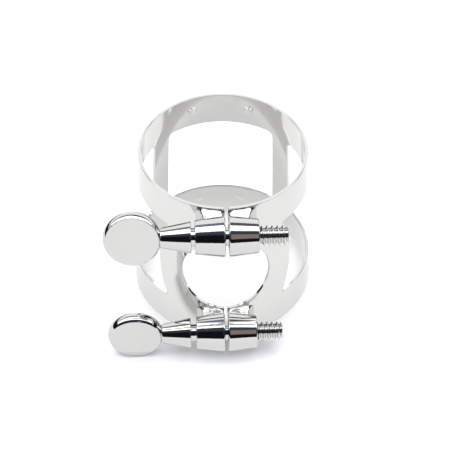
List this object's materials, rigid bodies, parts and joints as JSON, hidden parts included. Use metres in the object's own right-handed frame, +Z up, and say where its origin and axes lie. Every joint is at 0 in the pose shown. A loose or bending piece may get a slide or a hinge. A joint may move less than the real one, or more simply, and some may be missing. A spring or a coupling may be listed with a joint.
{
  "type": "saxophone ligature",
  "caption": "Polished metal saxophone ligature: a slit conical band with open windows, drawn together by thumb screws through brazed lugs.",
  "frame": {"origin": "middle of the whole object's footprint, on the surface that the wider lower rim stands on", "axes": "+Z up along the band's axis towards the narrow rim, -Y towards the slit and the screws, -X towards the thumb pieces"},
  "size_m": [0.034, 0.0362, 0.0299],
  "materials": {
    "band_metal": "polished nickel plate",
    "lug_metal": "bright nickel plate",
    "screw_metal": "bright nickel plate"
  },
  "bodies": {
    "band_and_left_lugs": {"band": "band_metal", "upper_left_lug": "lug_metal", "lower_left_lug": "lug_metal"},
    "right_lugs": {"upper_right_lug": "lug_metal", "lower_right_lug": "lug_metal"},
    "upper_screw": {"upper_thumb_screw": "screw_metal"},
    "lower_screw": {"lower_thumb_screw": "screw_metal"}
  },
  "joints": [
    {"name": "upper_screw_turn", "type": "hinge", "parent": "band_and_left_lugs", "child": "upper_screw", "pos_m": [0.00215, -0.01354, 0.0255], "axis": [1, 0, 0], "range_deg": [-360, 160]},
    {"name": "lower_screw_turn", "type": "hinge", "parent": "band_and_left_lugs", "child": "lower_screw", "pos_m": [0.00215, -0.01498, 0.0046], "axis": [1, 0, 0], "range_deg": [-360, 160]},
    {"name": "band_clamp", "type": "hinge", "parent": "band_and_left_lugs", "child": "right_lugs", "pos_m": [0.00215, 0.01715, 0.0141], "axis": [0, 0, -1], "range_deg": [-1.5, 0.66], "deforming": ["band"]}
  ],
  "couplings": [
    {"joint": "lower_screw_turn", "follows": "upper_screw_turn", "ratio": 1},
    {"joint": "band_clamp", "follows": "upper_screw_turn", "ratio": 0.00406}
  ]
}
